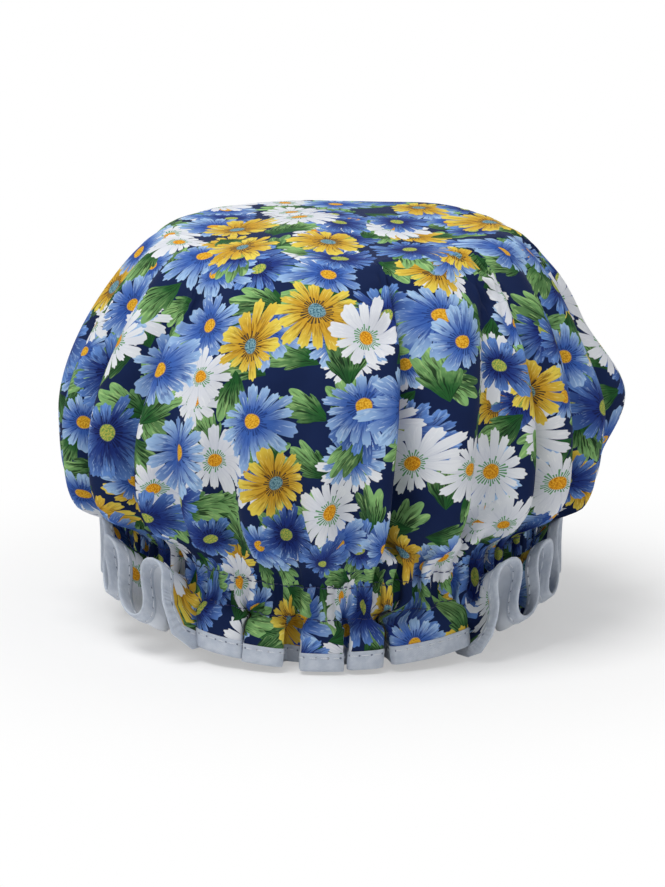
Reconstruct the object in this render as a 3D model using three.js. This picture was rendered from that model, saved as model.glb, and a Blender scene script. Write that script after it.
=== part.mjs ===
// Gathered bath cap. A round of printed cloth and a round of waterproof lining are sewn together
// along two rings of stitching. The channel between the rings holds an elastic band, which draws
// the rounds in: above it they puff out as the crown, below it they stand in a ruffle.
// A binding covers the raw hem. Millimetres, +Z up, the front of the cap towards -Y.
import * as THREE from 'three';

// Crown: its outer face, seen from the side
const CROWN_HEIGHT = 172; // top of the crown above the hem
const CROWN_RADIUS = 116; // half-width at the widest place, on the crests of the folds
const CROWN_DEPTH_RADIUS = 110; // half-depth there, front to back
const BULGE_HEIGHT = 86; // height of the widest place
const PLATEAU_RADIUS = 64; // half-width of the flat top
const PLATEAU_FALL = 3; // the top is this much lower at its edge
const SHOULDER_REACH = 34; // how far the top runs on before it turns down
const SHOULDER_FALL = 4; // and how far it falls there
const FLANK_REACH = 40; // how far the side runs straight above the widest place
const UNDER_REACH = 30; // how far the side runs straight below it
const DRAW_IN_REACH = 16; // the underside draws in to the waist from this far out
const DRAW_IN_RISE = 11; // and from this far up
const PEAK_REACH = 10; // the corner that stands out of the crown's right side
const PEAK_HEIGHT = 95;
const PEAK_SPREAD = 30; // half-height of that corner
const PEAK_ANGLE = 26; // half-width of that corner, degrees round the crown

// Waist: the elastic and its channel
const ELASTIC_RADIUS = 82; // inner face of the elastic loop
const ELASTIC_WIDTH = 7;
const ELASTIC_THICKNESS = 1;
const ELASTIC_LAP = 14; // length of the lapped ends
const CHANNEL_EASE = 3.5; // from each edge of the elastic to its row of stitches
const GATHER_DEPTH = 3; // small pleats at the rows of stitches

// Lobes of the ruffle, and the crown's folds between them. The front ones are set by eye.
const FRONT_LOBES = [-76, -60, -43, -31, -17, -2, 10, 27, 46, 59, 75]; // degrees right of the front
const FRONT_SPARE = [1.3, 1.4, 0.6, 0.6, 0.35, 0.4, 2, 0.7, 2.1, 1.3]; // spare cloth, usual share 1
const BACK_LOBES = 10; // evenly spread round the back
const BACK_UNEVEN = 0.35; // how much the spare cloth differs from fold to fold there
const FOLD_FULL = 0.7; // from this share of the way down, small pleats take over from the folds

// Ruffle and binding
const RUFFLE_DROP = 21; // lower row of stitches above the hem
const RUFFLE_FLARE = 1.5; // the hem's middle line stands out this far past the waist
const HEM_LIFT = 9; // the hem rises this much at the two sides
const LOBE_FACE = 0.58; // share of a lobe's pitch that its flat outer face takes
const HEM_FLOOR = 0.48; // share that the flat floor of the valley takes at the hem
const WAIST_FLOOR = 0.36; // and at the waist, where the sides of the pleats lean open
const BINDING_WIDTH = 8;

// Sheet and thread
const CLOTH_THICKNESS = 0.4;
const LINING_THICKNESS = 0.3;
const BINDING_THICKNESS = 0.5;
const THREAD_RADIUS = 0.25;
const CLEARANCE = 0.3;

// Depths below the outer face of the printed cloth
const CLOTH_INNER = CLOTH_THICKNESS;
const LINING_OUTER = CLOTH_INNER + CLEARANCE;
const LINING_INNER = LINING_OUTER + LINING_THICKNESS;
const BINDING_OVER = -CLEARANCE;
const BINDING_OUTER = BINDING_OVER - BINDING_THICKNESS;
const BINDING_UNDER = LINING_INNER + CLEARANCE;
const BINDING_INNER = BINDING_UNDER + BINDING_THICKNESS;
const THREAD_STANDOFF = CLEARANCE + THREAD_RADIUS;
const PUCKER_STANDOFF = 2 * CLEARANCE + THREAD_RADIUS; // where the sheet is puckered along a seam

const TURN = Math.PI * 2;
const { lerp, smoothstep, degToRad } = THREE.MathUtils;

// Waist sizes that follow from the elastic
const channelHeight = ELASTIC_WIDTH + 2 * CHANNEL_EASE;
const channelShare = (2 * CHANNEL_EASE) / channelHeight;
const waistRadius = ELASTIC_RADIUS + ELASTIC_THICKNESS;
const waistLow = RUFFLE_DROP;
const waistMiddle = waistLow + channelHeight / 2;
const waistHigh = waistLow + channelHeight;
const lapOuter = ELASTIC_RADIUS + 2 * ELASTIC_THICKNESS + CLEARANCE;
const tackOuter = lapOuter + 2 * THREAD_STANDOFF;
const outerNeeds = tackOuter + CLEARANCE - (waistRadius - CLOTH_INNER);
const liningNeeds = waistRadius + GATHER_DEPTH - LINING_OUTER - (ELASTIC_RADIUS - CLEARANCE);
const channelOut = waistRadius + outerNeeds / channelShare;
const channelIn = waistRadius - liningNeeds / channelShare;

// Side view of the crown, from the middle of the cloth to the upper row of stitches
const meridian = new THREE.Path();
meridian.moveTo(0, CROWN_HEIGHT);
meridian.lineTo(PLATEAU_RADIUS, CROWN_HEIGHT - PLATEAU_FALL);
meridian.bezierCurveTo(
  PLATEAU_RADIUS + SHOULDER_REACH, CROWN_HEIGHT - PLATEAU_FALL - SHOULDER_FALL,
  CROWN_RADIUS, BULGE_HEIGHT + FLANK_REACH,
  CROWN_RADIUS, BULGE_HEIGHT,
);
meridian.bezierCurveTo(
  CROWN_RADIUS, BULGE_HEIGHT - UNDER_REACH,
  waistRadius + DRAW_IN_REACH, waistHigh + DRAW_IN_RISE,
  waistRadius, waistHigh,
);
const crownLength = meridian.getLength();

// Lobes of the ruffle, and folds of the crown above it. Numbers past the last go round again.
const LOBES = FRONT_LOBES.length + BACK_LOBES;
const lastFront = FRONT_LOBES.length - 1;
const backPitch = (360 + FRONT_LOBES[0] - FRONT_LOBES[lastFront]) / (BACK_LOBES + 1);
function lobeDegrees(number) {
  const turns = Math.floor(number / LOBES);
  const lobe = number - turns * LOBES;
  const past = lobe - lastFront;
  const degrees = past > 0 ? FRONT_LOBES[lastFront] + past * backPitch : FRONT_LOBES[lobe];
  return degrees + 360 * turns;
}
const lobePitch = (lobe) => lobeDegrees(lobe + 1) - lobeDegrees(lobe);
const backSpare = (lobe) => 1 + BACK_UNEVEN * Math.sin(lobe * 2.4 + 0.8);
const spareShare = (lobe) => FRONT_SPARE[lobe] ?? backSpare(lobe);

// The hem keeps the full length it was cut to, so its lobes are as deep as the spare cloth needs
const cutRadius = crownLength + channelHeight + Math.hypot(RUFFLE_DROP, RUFFLE_FLARE);
const hemRadius = waistRadius + RUFFLE_FLARE;
const hemDepth = (Math.PI * (cutRadius - hemRadius)) / LOBES;

// Angle round the cap at a lobe number, which may lie between two lobes
function lobeAngle(lobe) {
  const before = Math.floor(lobe);
  return degToRad(lobeDegrees(before) + (lobe - before) * lobePitch(before)) - Math.PI / 2;
}

// Radius that the standing-out corner adds at an angle and a height
function peakReach(angle, z) {
  const round = Math.abs(Math.atan2(Math.sin(angle), Math.cos(angle)));
  const across = 1 - smoothstep(round, 0, degToRad(PEAK_ANGLE));
  const along = 1 - smoothstep(Math.abs(z - PEAK_HEIGHT), 0, PEAK_SPREAD);
  return PEAK_REACH * across * along;
}

// Rings of the crown, as shares of the way from its middle to the upper stitches
const TOP_SHARE = 0.27;
const CROWN_SHARES = [0.41, 0.55, 0.71, 0.86];

// Front-to-back squeeze of the crown, none at the waist
function depthShare(z) {
  const squeeze = smoothstep(z, waistHigh, BULGE_HEIGHT);
  return lerp(1, CROWN_DEPTH_RADIUS / CROWN_RADIUS, squeeze);
}

function at(angle, radius, z) {
  return new THREE.Vector3(radius * Math.cos(angle), radius * Math.sin(angle), z);
}

// The round of cloth is longer round than the crown is, and the spare length stands in folds.
// A fold is as deep as its two straight sides reach over the pitch of its lobe.
function foldDepth(lobe, share, radius) {
  const usualSpare = (TURN * Math.max(share * crownLength - radius, 0)) / LOBES;
  const pitch = radius * degToRad(lobePitch(lobe));
  const side = (pitch + usualSpare * spareShare(lobe)) / 2;
  const depth = Math.sqrt(side * side - (pitch * pitch) / 4);
  return depth * (1 - smoothstep(share, FOLD_FULL, 1));
}

// A ring is a list of points, each with its order in lobes round the cap.
// The crown's top ring has a crest for each lobe, its other rings a crest and a valley.
function crownRing(share, places) {
  const { x: radius, y: z } = meridian.getPointAt(share);
  const ring = [];
  for (let lobe = 0; lobe < LOBES; lobe++) {
    for (const place of places) {
      const angle = lobeAngle(lobe + place);
      const sunk = place === 0 ? 0 : foldDepth(lobe, share, radius);
      const reach = radius - sunk + peakReach(angle, z);
      const point = at(angle, reach, z);
      point.y *= depthShare(z);
      ring.push({ order: lobe + place, point });
    }
  }
  return ring;
}

// A ring from the waist down has four points to a lobe: the edges of its face and of its floor.
// The floor is undercut, so these points have an order of their own for joining rings.
function ruffleRing(outRadius, depth, height, floorShare) {
  const face = LOBE_FACE / 2;
  const floor = floorShare / 2;
  const corners = [
    { order: -0.2, place: -face, sunk: 0 },
    { order: 0.2, place: face, sunk: 0 },
    { order: 0.3, place: 0.5 - floor, sunk: depth },
    { order: 0.7, place: 0.5 + floor, sunk: depth },
  ];
  const ring = [];
  for (let lobe = 0; lobe < LOBES; lobe++) {
    for (const { order, place, sunk } of corners) {
      const angle = lobeAngle(lobe + place);
      ring.push({ order: lobe + order, point: at(angle, outRadius - sunk, height(angle)) });
    }
  }
  return ring;
}

const hemLift = (angle) => HEM_LIFT * smoothstep(Math.abs(Math.cos(angle)), 0.55, 0.97);

// The ruffle runs from a share of 0 at the lower stitches to 1 at the hem
function hangingRing(share) {
  const middle = lerp(waistRadius + GATHER_DEPTH / 2, hemRadius, share);
  const depth = lerp(GATHER_DEPTH, hemDepth, share);
  const height = (angle) => waistLow * (1 - share) + hemLift(angle) * share;
  const floorShare = lerp(WAIST_FLOOR, HEM_FLOOR, share);
  return ruffleRing(middle + depth / 2, depth, height, floorShare);
}

const ruffleLength = Math.hypot(RUFFLE_DROP, RUFFLE_FLARE);
const clothEdgeShare = 1 - (BINDING_THICKNESS + CLEARANCE) / ruffleLength;
const foldInsideShare = 1 - BINDING_THICKNESS / ruffleLength;
const bindingTopShare = 1 - BINDING_WIDTH / ruffleLength;
const bindingSeamShare = 1 - (BINDING_WIDTH - 1.6) / ruffleLength;

const level = (z) => () => z;
const stitchRing = (z) =>
  ruffleRing(waistRadius + GATHER_DEPTH, GATHER_DEPTH, level(z), WAIST_FLOOR);

// All rings of one sheet, from the top down. The middle ring of the channel is the sheet's own,
// and its floors are as wide as those of the stitch rings.
function sheetRings(channelRadius) {
  const rings = [crownRing(TOP_SHARE, [0])];
  rings.push(...CROWN_SHARES.map((share) => crownRing(share, [0, 0.5])));
  rings.push(stitchRing(waistHigh));
  const outside = channelRadius + GATHER_DEPTH;
  const floorShare = (WAIST_FLOOR * waistRadius) / channelRadius;
  rings.push(ruffleRing(outside, GATHER_DEPTH, level(waistMiddle), floorShare));
  rings.push(stitchRing(waistLow));
  rings.push(hangingRing(bindingTopShare));
  rings.push(hangingRing(clothEdgeShare));
  rings.push(hangingRing(1));
  return rings;
}
const UPPER_STITCHES = CROWN_SHARES.length + 1;
const CHANNEL = UPPER_STITCHES + 1;
const LOWER_STITCHES = CHANNEL + 1;
const BINDING_TOP = LOWER_STITCHES + 1;
const CLOTH_EDGE = BINDING_TOP + 1;
const HEM = CLOTH_EDGE + 1;

// Triangles between two rings of the same number of points. Each is cut from a point of the
// upper ring to the next point of the lower one, or the other way round where the band rises.
function bandTriangles(upper, lower, count, rising = false) {
  const triangles = [];
  for (let i = 0; i < count; i++) {
    const next = (i + 1) % count;
    if (rising) {
      triangles.push([upper + i, lower + i, upper + next]);
      triangles.push([upper + next, lower + i, lower + next]);
    } else {
      triangles.push([upper + i, lower + i, lower + next]);
      triangles.push([upper + i, lower + next, upper + next]);
    }
  }
  return triangles;
}

// Triangles between two rings of a sheet, which may differ in their number of points
function zipTriangles(upperRing, lowerRing, upper, lower) {
  const [m, n] = [upperRing.length, lowerRing.length];
  const order = (ring, i) => ring[i % ring.length].order + (i >= ring.length ? LOBES : 0);
  const triangles = [];
  let [i, j] = [0, 0];
  while (i < m || j < n) {
    const a = upper + (i % m);
    const b = lower + (j % n);
    const stepLower = i === m || (j < n && order(lowerRing, j + 1) <= order(upperRing, i + 1));
    if (stepLower) {
      j += 1;
      triangles.push([a, b, lower + (j % n)]);
    } else {
      i += 1;
      triangles.push([a, b, upper + (i % m)]);
    }
  }
  return triangles;
}

// One sheet: its points, its triangles down to a ring, and the way to step below each point
class Sheet {
  constructor(rings) {
    this.rings = rings;
    this.points = [new THREE.Vector3(0, 0, CROWN_HEIGHT)];
    this.starts = [];
    for (const ring of rings) {
      this.starts.push(this.points.length);
      this.points.push(...ring.map(({ point }) => point));
    }
    this.steps = this.stepVectors();
  }

  trianglesTo(last) {
    const triangles = [];
    const first = this.rings[0].length;
    for (let i = 0; i < first; i++) {
      triangles.push([0, 1 + i, 1 + ((i + 1) % first)]);
    }
    for (let i = 0; i < last; i++) {
      const [upper, lower] = [this.rings[i], this.rings[i + 1]];
      triangles.push(...zipTriangles(upper, lower, this.starts[i], this.starts[i + 1]));
    }
    return triangles;
  }

  // The step vector of a point moves every face round it inwards by a millimetre or a little more.
  // Steps are level from the top of the binding down, so that cut edges stay level.
  stepVectors() {
    const facesOf = this.points.map(() => []);
    for (const [a, b, c] of this.trianglesTo(this.rings.length - 1)) {
      const [pa, pb, pc] = [this.points[a], this.points[b], this.points[c]];
      const normal = pb.clone().sub(pa).cross(pc.clone().sub(pa)).normalize();
      for (const corner of [a, b, c]) {
        facesOf[corner].push(normal);
      }
    }
    return facesOf.map((normals, index) => {
      const square = new Array(9).fill(0);
      const sum = new THREE.Vector3();
      for (const normal of normals) {
        const n = normal.toArray();
        sum.sub(normal);
        square.forEach((value, i) => {
          square[i] = value + n[Math.floor(i / 3)] * n[i % 3];
        });
      }
      for (const diagonal of [0, 4, 8]) {
        square[diagonal] += 0.002;
      }
      square[8] += index < this.starts[BINDING_TOP] ? 0 : 1e6;
      const step = sum.applyMatrix3(new THREE.Matrix3().fromArray(square).invert());
      const least = Math.min(...normals.map((normal) => -normal.dot(step)));
      return step.divideScalar(Math.max(least, 0.6));
    });
  }

  below(index, depth) {
    return this.points[index].clone().addScaledVector(this.steps[index], depth);
  }

  ringBelow(ring, depth) {
    return this.rings[ring].map((_, i) => this.below(this.starts[ring] + i, depth));
  }

  // A ring part of the way from one ring to the next
  ringBetween(ring, share, depth) {
    const lower = this.ringBelow(ring + 1, depth);
    return this.ringBelow(ring, depth).map((point, i) => point.lerp(lower[i], share));
  }

  // The closed shell of this sheet between two depths, down to a ring
  shell(last, outer, inner) {
    const count = this.starts[last] + this.rings[last].length;
    const points = [];
    for (const depth of [outer, inner]) {
      for (let i = 0; i < count; i++) {
        points.push(this.below(i, depth));
      }
    }
    const face = this.trianglesTo(last);
    const back = face.map(([a, b, c]) => [a + count, c + count, b + count]);
    const edge = this.starts[last];
    const rim = bandTriangles(edge, edge + count, this.rings[last].length);
    return geometryOf(points, [...face, ...back, ...rim]);
  }
}

function geometryOf(points, triangles) {
  const geometry = new THREE.BufferGeometry().setFromPoints(points);
  geometry.setIndex(triangles.flat());
  geometry.computeVertexNormals();
  return geometry;
}

// A closed tube through rings of points: loops[k] is one long edge of the tube
function loopSolid(loops) {
  const count = loops[0].length;
  const triangles = [];
  loops.forEach((_, k) => {
    const next = (k + 1) % loops.length;
    const rising = loops[next][0].z > loops[k][0].z;
    triangles.push(...bandTriangles(k * count, next * count, count, rising));
  });
  return geometryOf(loops.flat(), triangles);
}

// An open strip or thread through sections of points, with flat ends
function stripSolid(sections) {
  const sides = sections[0].length;
  const triangles = [];
  for (let k = 0; k + 1 < sections.length; k++) {
    triangles.push(...bandTriangles(k * sides, (k + 1) * sides, sides));
  }
  const last = (sections.length - 1) * sides;
  for (let i = 1; i + 1 < sides; i++) {
    triangles.push([0, i, i + 1]);
    triangles.push([last, last + i + 1, last + i]);
  }
  return geometryOf(sections.flat(), triangles);
}

// A thread that lies on a sheet along a ring of points
function threadLoop(path) {
  const section = [[1, 0], [0, -1], [-1, 0], [0, 1]];
  const count = path.length;
  const frames = path.map((point, i) => {
    const before = path[(i + count - 1) % count];
    const after = path[(i + 1) % count];
    const along = after.clone().sub(before).normalize();
    const up = new THREE.Vector3(0, 0, 1);
    const out = along.clone().cross(up).normalize();
    return { point, out, up: out.clone().cross(along).normalize() };
  });
  return loopSolid(section.map(([o, u]) => frames.map(({ point, out, up }) =>
    point.clone()
      .addScaledVector(out, o * THREAD_RADIUS)
      .addScaledVector(up, u * THREAD_RADIUS))));
}

const outerSheet = new Sheet(sheetRings(channelOut));
const liningSheet = new Sheet(sheetRings(channelIn));

// The lining follows the cloth step for step, apart from the channel
const [channelStart, channelEnd] = [liningSheet.starts[CHANNEL], liningSheet.starts[CHANNEL + 1]];
const liningOwnSteps = liningSheet.steps;
liningSheet.steps = liningOwnSteps.map((step, i) =>
  (i >= channelStart && i < channelEnd ? step : outerSheet.steps[i]));

// The elastic strip: one turn, then its end laps over its start at the back of the cap
function elasticSolid() {
  const lapAngle = ELASTIC_LAP / ELASTIC_RADIUS;
  const riseAngle = lapAngle / 2;
  const start = Math.PI / 2 - lapAngle / 2;
  const steps = 60;
  const angles = [];
  for (let i = 0; i <= steps; i++) {
    angles.push(((TURN - riseAngle) * i) / steps);
  }
  for (let i = 0; i <= 4; i++) {
    angles.push(TURN - 0.1 * riseAngle + ((lapAngle + 0.1 * riseAngle) * i) / 4);
  }
  const bottom = waistMiddle - ELASTIC_WIDTH / 2;
  const top = waistMiddle + ELASTIC_WIDTH / 2;
  const sections = angles.map((angle) => {
    const lapped = smoothstep(angle, TURN - riseAngle, TURN - 0.1 * riseAngle);
    const inner = ELASTIC_RADIUS + lapped * (ELASTIC_THICKNESS + CLEARANCE);
    const outer = inner + ELASTIC_THICKNESS;
    const turn = start + angle;
    return [
      at(turn, inner, bottom), at(turn, outer, bottom),
      at(turn, outer, top), at(turn, inner, top),
    ];
  });
  return stripSolid(sections);
}

// The zigzag thread across the lapped ends
function tackSolid() {
  const points = 7;
  const reach = ELASTIC_LAP / ELASTIC_RADIUS * 0.3;
  const rise = ELASTIC_WIDTH * 0.32;
  const radius = lapOuter + THREAD_STANDOFF;
  const path = [];
  for (let i = 0; i < points; i++) {
    const angle = Math.PI / 2 + reach * ((2 * i) / (points - 1) - 1);
    path.push(at(angle, radius, waistMiddle + (i % 2 ? rise : -rise)));
  }
  const sections = path.map((point) => {
    const out = new THREE.Vector3(point.x, point.y, 0).normalize().multiplyScalar(THREAD_RADIUS);
    const up = new THREE.Vector3(0, 0, THREAD_RADIUS);
    return [
      point.clone().add(out), point.clone().add(up),
      point.clone().sub(out), point.clone().sub(up),
    ];
  });
  return stripSolid(sections);
}

// The binding is a U in section: down outside, under the raw edges, up inside
function bindingSolid() {
  const top = (depth) => outerSheet.ringBelow(BINDING_TOP, depth);
  const inside = (depth) => {
    const share = (foldInsideShare - clothEdgeShare) / (1 - clothEdgeShare);
    return outerSheet.ringBetween(CLOTH_EDGE, share, depth);
  };
  const foot = (depth) => outerSheet.ringBelow(HEM, depth);
  return loopSolid([
    top(BINDING_OUTER), foot(BINDING_OUTER), foot(BINDING_INNER), top(BINDING_INNER),
    top(BINDING_UNDER), inside(BINDING_UNDER), inside(BINDING_OVER), top(BINDING_OVER),
  ]);
}

const bindingSeam = (depth) => {
  const share = (bindingSeamShare - bindingTopShare) / (clothEdgeShare - bindingTopShare);
  return threadLoop(outerSheet.ringBetween(BINDING_TOP, share, depth));
};
const outerSeam = (ring) => threadLoop(outerSheet.ringBelow(ring, -PUCKER_STANDOFF));
const innerSeam = (ring) => {
  const start = liningSheet.starts[ring];
  return threadLoop(liningSheet.ringBelow(ring, LINING_INNER).map((point, i) =>
    point.addScaledVector(liningOwnSteps[start + i], PUCKER_STANDOFF)));
};

const PRINTED_COTTON = { color: 0x2b3f86, roughness: 0.9, metalness: 0 };
const WATERPROOF = { color: 0xdfe4ea, roughness: 0.4, metalness: 0 };
const PALE_TAPE = { color: 0xd3dae4, roughness: 0.85, metalness: 0 };
const PALE_THREAD = { color: 0xe9ebee, roughness: 0.7, metalness: 0 };
const DARK_THREAD = { color: 0x2a2f5c, roughness: 0.7, metalness: 0 };
const WHITE_ELASTIC = { color: 0xefefec, roughness: 0.8, metalness: 0 };

const cap = new THREE.Group();
function add(name, geometry, finish) {
  const mesh = new THREE.Mesh(geometry, new THREE.MeshStandardMaterial(finish));
  mesh.name = name;
  cap.add(mesh);
}

add('outer_cloth', outerSheet.shell(CLOTH_EDGE, 0, CLOTH_INNER), PRINTED_COTTON);
add('lining', liningSheet.shell(CLOTH_EDGE, LINING_OUTER, LINING_INNER), WATERPROOF);
add('elastic_band', elasticSolid(), WHITE_ELASTIC);
add('elastic_tack', tackSolid(), PALE_THREAD);
add('upper_needle_thread', outerSeam(UPPER_STITCHES), DARK_THREAD);
add('upper_bobbin_thread', innerSeam(UPPER_STITCHES), PALE_THREAD);
add('lower_needle_thread', outerSeam(LOWER_STITCHES), DARK_THREAD);
add('lower_bobbin_thread', innerSeam(LOWER_STITCHES), PALE_THREAD);
add('edge_binding', bindingSolid(), PALE_TAPE);
add('binding_needle_thread', bindingSeam(BINDING_OUTER - THREAD_STANDOFF), PALE_THREAD);
add('binding_bobbin_thread', bindingSeam(BINDING_INNER + THREAD_STANDOFF), PALE_THREAD);

// The part's origin is the middle of its box, at the hem
const box = new THREE.Box3().setFromObject(cap);
const middle = box.getCenter(new THREE.Vector3());
for (const mesh of cap.children) {
  mesh.geometry.translate(-middle.x, -middle.y, -box.min.z);
}

export default cap;
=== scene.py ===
import math

import bpy
import numpy as np
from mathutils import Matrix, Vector
from mathutils.bvhtree import BVHTree


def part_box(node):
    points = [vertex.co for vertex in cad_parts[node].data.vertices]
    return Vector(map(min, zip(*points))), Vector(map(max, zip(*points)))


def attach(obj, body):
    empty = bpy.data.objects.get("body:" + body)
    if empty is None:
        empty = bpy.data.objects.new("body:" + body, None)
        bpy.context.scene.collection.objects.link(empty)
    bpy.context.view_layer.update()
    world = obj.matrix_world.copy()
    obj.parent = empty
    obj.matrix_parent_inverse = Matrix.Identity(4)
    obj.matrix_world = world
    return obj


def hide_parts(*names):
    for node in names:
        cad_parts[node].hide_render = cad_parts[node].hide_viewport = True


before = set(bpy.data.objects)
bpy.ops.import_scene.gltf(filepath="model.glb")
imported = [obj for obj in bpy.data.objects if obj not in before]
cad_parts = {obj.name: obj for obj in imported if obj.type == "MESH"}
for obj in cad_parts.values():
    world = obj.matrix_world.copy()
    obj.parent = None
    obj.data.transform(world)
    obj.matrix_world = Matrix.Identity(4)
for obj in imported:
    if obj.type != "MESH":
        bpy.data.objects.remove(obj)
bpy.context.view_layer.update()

# Outer cloth. One round of printed cotton, drawn in by an elastic that is sewn round it: above the
# elastic it puffs out in folds, below it the spare cloth stands in a ruffle. The gathers are laid
# out by rule from the flat round, and a cloth simulation then settles the crown.
CROWN_RADIUS = 0.116  # half-width at the widest place
CROWN_DEPTH_RADIUS = 0.110  # half-depth there, front to back
BULGE_HEIGHT = 0.086  # height of the widest place
PLATEAU_RADIUS = 0.068  # half-width of the flat top
PLATEAU_FALL = 0.003  # the top is this much lower at its edge
TOP_LEVEL = 3  # the top is level for one part in so many
TOP_EDGE = 0.7  # from this share on it falls to its edge
TOP_EDGE_RISE = 0.3  # share of its fall that is left there
SHOULDER_REACH = 0.023  # how far the top runs on before it turns down
SHOULDER_FALL = 0.004  # and how far it falls there
FLANK_REACH = 0.028  # how far the side runs straight above the widest place
UNDER_REACH = 0.042  # and below it
FRONT_TAPER = (0.007, 0.017)  # at the front the crown draws in straight: out and up from the seam
SIDE_DROOP = (0.022, 0.001)  # elsewhere it sags more
OUTLINE_STEPS = 240

# Lobes of the ruffle at the front, from left to right, and the crown's folds between them
FRONT_CRESTS = (-76, -60, -43, -31, -17, -2, 10, 27, 46, 59, 75)  # degrees right of the front
FRONT_SPARE = (1.3, 1.4, 0.6, 0.6, 0.35, 0.4, 2.0, 0.7, 2.1, 1.3)  # spare cloth in the fold after it
FRONT_OVERLAP = (0.0, -0.3, 0.0, 0.0, 0.0, 0.0, 0.7, 0.0, 0.6, 0.0)  # how far that fold hangs over
FRONT_FACES = (18, 20, 18, 23, 17, 18, 14, 38, 14, 18, 20)  # width of a lobe's flat face, mm
FRONT_FLARE = (1, 1, 1, 0, 0, 0, 0, 0, 1, 1, 1)  # 1 where a lobe turns up and out
FRONT_DROP = (0.0, 0.0, 0.0, 0.3, 0.6, 1.0, 0.7, 0.5, 0.3, 0.0, 0.0)  # 1 where a lobe hangs lowest
BACK_LOBES = 10
BACK_SPARE = (0.5, 1.5)  # least and most, at random
BACK_FACES = (14, 23)
BACK_DROP = (0.2, 0.9)
LOBE_LEAN = 1.5  # a lobe leans to one side by up to these degrees
SPARE_RANGE = 0.34  # how far the folds differ in the cloth that they take up
FLAT_REACH = 0.060  # the middle of the round stays flat, without folds, as far as here
DRAWN_SHARE = 0.75  # from this share of the crown on, its folds stand over the gaps of the ruffle
LEAN = 8.0  # the folds right of the front lean over by these degrees on their way up
LEAN_MIDDLE = 22.0
LEAN_SPREAD = 32.0
LEAN_START = 0.8  # they start to lean at this share of the widest place's height
PASSING = (0.35, 0.65)  # in this part of a fold one lobe's way passes over to the next one's
FRONT_FACING = (0.1, 0.75)  # from the sides to the front, by the cosine of the turn
SIDE_FACING = (0.85, 1.0)  # straight at the sides, by its sine
BACK_FLARE = (0.5, 0.75)  # at the back the lobes near the sides turn up, by its sine

GATHER_DEPTH = 0.0045  # small pleats at the seams of the channel
GATHER_REACH = 0.045  # they start this far above the upper seam
GATHER_END = 0.5  # and end at this share of the way from the elastic to the hem
RUFFLE_FALL = 0.022  # cloth below the lower seam
RUFFLE_SINK = 0.004  # its middle line lies this much inside its faces
LOBE_GAP = (0.001, 0.003)  # least gap between two faces, and what its floor is wider
HEM_REACH = 0.012  # how far the front lobes' faces stand out from the elastic
HEM_CLEAR = 0.0014  # cloth edge above the floor at the lowest lobe
HEM_UNEVEN = 0.0030
HANG_TILT = 6.0  # a lobe at the front hangs out from upright by these degrees
FLARE_TURN = 82.0  # a lobe at the side turns out by these degrees more, so that it waves up and down
FLARE_START = 0.3  # it has turned at this share of the way from the elastic to the hem
FLARE_ROOT = 0.006  # it starts this much closer to the elastic
FLARE_KEEP = 0.70  # its waves take up the rest of its reach
SIDE_KEEP = 0.44  # and still more of it straight at the sides
FLARE_RISE = 0.015  # its crests stand up by this
FLARE_DEPTH = 0.029  # and its valleys are this deep
HANG_DEPTH = 0.026  # depth of the valleys between lobes that hang
FLOOR_SOFT = 0.003  # below this the cloth flattens towards the floor
SIDE_RISE = 0.011  # the gathered ring stands higher at the two sides
CORNER = 0.030  # softness of the ruffle's corners, a share of a fold's cloth
MOST_TURN = 2.3  # a fold's sides turn by no more than this, radians
NO_FOLD = 0.999  # cloth whose ends are more than this share of its length apart lies flat

SIM_ROWS = 44
LOBE_COLUMNS = 12
RUFFLE_ROWS = 12
CHANNEL_ROWS = 8
ELASTIC_EASE = 0.0004  # between the elastic and the cotton round it

rng = np.random.default_rng(7)
cloth_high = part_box("outer_cloth")[1]
band_low, band_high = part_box("elastic_band")
upper_seam = sum(corner.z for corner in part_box("upper_needle_thread")) / 2
lower_seam = sum(corner.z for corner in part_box("lower_needle_thread")) / 2
elastic_radius = (band_high.x - band_low.x) / 2
ring_middle = Vector(((band_high.x + band_low.x) / 2, band_low.y + elastic_radius, 0))
waist_radius = elastic_radius + ELASTIC_EASE


def smooth(value, start, end):
    """From 0 at the start to 1 at the end, with a soft beginning and end."""
    t = np.clip((value - start) / (end - start), 0, 1)
    return t * t * (3 - 2 * t)


def bezier(a, b, c, d, points=80):
    """Points along a curve from a to d, which leaves towards b and arrives from c."""
    t = np.linspace(0, 1, points)[:, None]
    a, b, c, d = (np.array(p, float) for p in (a, b, c, d))
    return (1 - t) ** 3 * a + 3 * (1 - t) ** 2 * t * b + 3 * (1 - t) * t * t * c + t ** 3 * d


edge_height = cloth_high.z - PLATEAU_FALL
gather_radius = waist_radius + 2 * GATHER_DEPTH


def meridian(draw_in):
    """Half of the crown's outline, from the middle of the top to the upper seam, in even steps."""
    out, up = draw_in
    outline = np.vstack([
        bezier((0, cloth_high.z), (PLATEAU_RADIUS / TOP_LEVEL, cloth_high.z),
               (PLATEAU_RADIUS * TOP_EDGE, edge_height + TOP_EDGE_RISE * PLATEAU_FALL),
               (PLATEAU_RADIUS, edge_height)),
        bezier((PLATEAU_RADIUS, edge_height), (PLATEAU_RADIUS + SHOULDER_REACH, edge_height - SHOULDER_FALL),
               (CROWN_RADIUS, BULGE_HEIGHT + FLANK_REACH), (CROWN_RADIUS, BULGE_HEIGHT))[1:],
        bezier((CROWN_RADIUS, BULGE_HEIGHT), (CROWN_RADIUS, BULGE_HEIGHT - UNDER_REACH),
               (gather_radius + out, upper_seam + up), (gather_radius, upper_seam))[1:],
    ])
    along = np.r_[0, np.cumsum(np.hypot(*np.diff(outline, axis=0).T))]
    even = np.linspace(0, along[-1], OUTLINE_STEPS + 1)
    return np.stack([np.interp(even, along, outline[:, c]) for c in (0, 1)], 1), along[-1]


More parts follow.
